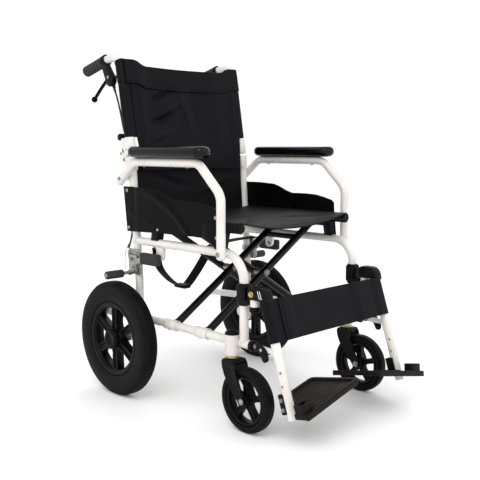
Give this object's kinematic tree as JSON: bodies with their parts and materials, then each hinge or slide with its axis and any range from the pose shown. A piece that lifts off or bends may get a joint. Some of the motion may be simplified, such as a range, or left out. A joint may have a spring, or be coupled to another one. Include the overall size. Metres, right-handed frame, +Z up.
{
  "type": "transport wheelchair",
  "caption": "Folding transport wheelchair: white tube frame, sling seat and back, fixed armrests, swing-away footrests, crossbar fold and half-folding back.",
  "frame": {"origin": "middle of the footprint on the floor", "axes": "+Z up, the chair faces -Y, +X to the occupant's left"},
  "size_m": [0.608, 0.8583, 0.9202],
  "materials": {
    "powder_coat": "gloss white powder coat on steel tube",
    "black_paint": "black powder coat on steel tube",
    "black_plastic": "moulded black nylon",
    "tyre_rubber": "matt black rubber",
    "grip_rubber": "ribbed black rubber",
    "arm_foam": "grained black polyurethane foam",
    "zinc_plate": "zinc-plated steel",
    "upholstery": "black coated nylon fabric",
    "webbing": "black polyester webbing"
  },
  "bodies": {
    "frame_right": {"rear_post_right": "powder_coat", "seat_rail_right": "powder_coat", "lower_rail_right": "powder_coat", "arm_tube_right": "powder_coat", "arm_pad_right": "arm_foam", "skirt_guard_right": "black_plastic", "hanger_clamp_right": "black_plastic", "rear_axle_right": "zinc_plate", "parking_bracket_right": "zinc_plate", "brake_cable_right": "black_plastic", "back_lower": "upholstery", "lap_belt": "webbing"},
    "back_right": {"back_cane_right": "powder_coat", "push_grip_right": "grip_rubber", "handbrake_body_right": "black_plastic", "back_upper": "upholstery"},
    "rear_wheel_right": {"rear_rim_right": "black_plastic", "rear_tyre_right": "tyre_rubber"},
    "caster_fork_right": {"caster_fork_right": "black_plastic"},
    "caster_wheel_right": {"caster_rim_right": "black_plastic", "caster_tyre_right": "tyre_rubber"},
    "hanger_right": {"hanger_tube_right": "powder_coat", "footplate_clamp_right": "black_plastic", "calf_strap": "upholstery"},
    "footplate_right": {"footplate_right": "black_plastic"},
    "latch_lever_right": {"latch_lever_right": "black_plastic"},
    "handbrake_lever_right": {"handbrake_lever_right": "black_plastic"},
    "release_lever_right": {"release_lever_right": "black_plastic"},
    "parking_lever_right": {"parking_lever_right": "zinc_plate"},
    "brake_shoe_right": {"brake_shoe_right": "zinc_plate"},
    "frame_left": {"rear_post_left": "powder_coat", "seat_rail_left": "powder_coat", "lower_rail_left": "powder_coat", "arm_tube_left": "powder_coat", "arm_pad_left": "arm_foam", "skirt_guard_left": "black_plastic", "hanger_clamp_left": "black_plastic", "rear_axle_left": "zinc_plate", "parking_bracket_left": "zinc_plate", "brake_cable_left": "black_plastic"},
    "back_left": {"back_cane_left": "powder_coat", "push_grip_left": "grip_rubber", "handbrake_body_left": "black_plastic"},
    "rear_wheel_left": {"rear_rim_left": "black_plastic", "rear_tyre_left": "tyre_rubber"},
    "caster_fork_left": {"caster_fork_left": "black_plastic"},
    "caster_wheel_left": {"caster_rim_left": "black_plastic", "caster_tyre_left": "tyre_rubber"},
    "hanger_left": {"hanger_tube_left": "powder_coat", "footplate_clamp_left": "black_plastic"},
    "footplate_left": {"footplate_left": "black_plastic"},
    "latch_lever_left": {"latch_lever_left": "black_plastic"},
    "handbrake_lever_left": {"handbrake_lever_left": "black_plastic"},
    "release_lever_left": {"release_lever_left": "black_plastic"},
    "parking_lever_left": {"parking_lever_left": "zinc_plate"},
    "brake_shoe_left": {"brake_shoe_left": "zinc_plate"},
    "scissor_a": {"scissor_a": "black_paint", "seat_sling": "upholstery"},
    "scissor_b": {"scissor_b": "black_paint"}
  },
  "joints": [
    {"name": "fold", "type": "hinge", "parent": "frame_right", "child": "scissor_a", "pos_m": [-0.2086, 0.01427, 0.207], "axis": [0, -1, 0], "range_deg": [0, 34], "deforming": ["seat_sling", "back_lower", "back_upper", "calf_strap", "lap_belt"]},
    {"name": "scissor_cross", "type": "hinge", "parent": "scissor_a", "child": "scissor_b", "pos_m": [0, -0.02573, 0.33761], "axis": [0, -1, 0], "range_deg": [-68, 0]},
    {"name": "left_frame_fold", "type": "hinge", "parent": "scissor_b", "child": "frame_left", "pos_m": [0.2086, 0.01427, 0.207], "axis": [0, -1, 0], "range_deg": [0, 34]},
    {"name": "back_fold_right", "type": "hinge", "parent": "frame_right", "child": "back_right", "pos_m": [-0.2086, 0.24227, 0.634], "axis": [-1, 0, 0], "range_deg": [0, 95], "deforming": ["brake_cable_right"]},
    {"name": "back_fold_left", "type": "hinge", "parent": "frame_left", "child": "back_left", "pos_m": [0.2086, 0.24227, 0.634], "axis": [-1, 0, 0], "range_deg": [0, 95], "deforming": ["brake_cable_left"]},
    {"name": "rear_wheel_spin_right", "type": "hinge", "parent": "frame_right", "child": "rear_wheel_right", "pos_m": [-0.269, 0.21427, 0.155], "axis": [1, 0, 0], "continuous": true},
    {"name": "caster_swivel_right", "type": "hinge", "parent": "frame_right", "child": "caster_fork_right", "pos_m": [-0.2207, -0.18173, 0.17], "axis": [0, 0, 1], "continuous": true},
    {"name": "caster_spin_right", "type": "hinge", "parent": "caster_fork_right", "child": "caster_wheel_right", "pos_m": [-0.2207, -0.23273, 0.078], "axis": [1, 0, 0], "continuous": true},
    {"name": "hanger_swing_right", "type": "hinge", "parent": "frame_right", "child": "hanger_right", "pos_m": [-0.2123, -0.24773, 0.3], "axis": [0, 0, -1], "range_deg": [0, 90]},
    {"name": "hanger_latch_right", "type": "hinge", "parent": "hanger_right", "child": "latch_lever_right", "pos_m": [-0.22, -0.27773, 0.207], "axis": [1, 0, 0], "range_deg": [0, 25], "stiffness_Nm_per_rad": 0.05, "springref_deg": -28.65},
    {"name": "footplate_flip_right", "type": "hinge", "parent": "hanger_right", "child": "footplate_right", "pos_m": [-0.188, -0.35773, 0.083], "axis": [0, -0.9781, 0.2079], "range_deg": [0, 65.5]},
    {"name": "handbrake_squeeze_right", "type": "hinge", "parent": "back_right", "child": "handbrake_lever_right", "pos_m": [-0.1961, 0.31027, 0.857], "axis": [1, 0, 0], "range_deg": [0, 20], "stiffness_Nm_per_rad": 0.6, "springref_deg": -22.92},
    {"name": "back_release_right", "type": "hinge", "parent": "back_right", "child": "release_lever_right", "pos_m": [-0.2021, 0.26227, 0.65], "axis": [-1, 0, 0], "range_deg": [0, 25], "stiffness_Nm_per_rad": 0.08, "springref_deg": -34.38},
    {"name": "parking_lever_right", "type": "hinge", "parent": "frame_right", "child": "parking_lever_right", "pos_m": [-0.225, 0.18427, 0.356], "axis": [1, 0, 0], "range_deg": [0, 35]},
    {"name": "brake_shoe_right", "type": "hinge", "parent": "frame_right", "child": "brake_shoe_right", "pos_m": [-0.2258, 0.18627, 0.338], "axis": [-1, 0, 0], "range_deg": [0, 12.1]},
    {"name": "rear_wheel_spin_left", "type": "hinge", "parent": "frame_left", "child": "rear_wheel_left", "pos_m": [0.269, 0.21427, 0.155], "axis": [1, 0, 0], "continuous": true},
    {"name": "caster_swivel_left", "type": "hinge", "parent": "frame_left", "child": "caster_fork_left", "pos_m": [0.2207, -0.18173, 0.17], "axis": [0, 0, 1], "continuous": true},
    {"name": "caster_spin_left", "type": "hinge", "parent": "caster_fork_left", "child": "caster_wheel_left", "pos_m": [0.2207, -0.23273, 0.078], "axis": [1, 0, 0], "continuous": true},
    {"name": "hanger_swing_left", "type": "hinge", "parent": "frame_left", "child": "hanger_left", "pos_m": [0.2123, -0.24773, 0.3], "axis": [0, 0, 1], "range_deg": [0, 90]},
    {"name": "hanger_latch_left", "type": "hinge", "parent": "hanger_left", "child": "latch_lever_left", "pos_m": [0.22, -0.27773, 0.207], "axis": [1, 0, 0], "range_deg": [0, 25], "stiffness_Nm_per_rad": 0.05, "springref_deg": -28.65},
    {"name": "footplate_flip_left", "type": "hinge", "parent": "hanger_left", "child": "footplate_left", "pos_m": [0.188, -0.35773, 0.083], "axis": [0, 0.9781, -0.2079], "range_deg": [0, 65.5]},
    {"name": "handbrake_squeeze_left", "type": "hinge", "parent": "back_left", "child": "handbrake_lever_left", "pos_m": [0.1961, 0.31027, 0.857], "axis": [1, 0, 0], "range_deg": [0, 20], "stiffness_Nm_per_rad": 0.6, "springref_deg": -22.92},
    {"name": "back_release_left", "type": "hinge", "parent": "back_left", "child": "release_lever_left", "pos_m": [0.2021, 0.26227, 0.65], "axis": [-1, 0, 0], "range_deg": [0, 25], "stiffness_Nm_per_rad": 0.08, "springref_deg": -34.38},
    {"name": "parking_lever_left", "type": "hinge", "parent": "frame_left", "child": "parking_lever_left", "pos_m": [0.225, 0.18427, 0.356], "axis": [1, 0, 0], "range_deg": [0, 35]},
    {"name": "brake_shoe_left", "type": "hinge", "parent": "frame_left", "child": "brake_shoe_left", "pos_m": [0.2258, 0.18627, 0.338], "axis": [-1, 0, 0], "range_deg": [0, 12.1]}
  ],
  "couplings": [
    {"joint": "scissor_cross", "follows": "fold", "ratio": -2},
    {"joint": "left_frame_fold", "follows": "fold", "ratio": 1},
    {"joint": "back_fold_left", "follows": "back_fold_right", "ratio": 1},
    {"joint": "footplate_flip_right", "follows": "fold", "ratio": 1.92},
    {"joint": "brake_shoe_right", "follows": "parking_lever_right", "ratio": 0.3429},
    {"joint": "footplate_flip_left", "follows": "fold", "ratio": 1.92},
    {"joint": "brake_shoe_left", "follows": "parking_lever_left", "ratio": 0.3429}
  ]
}
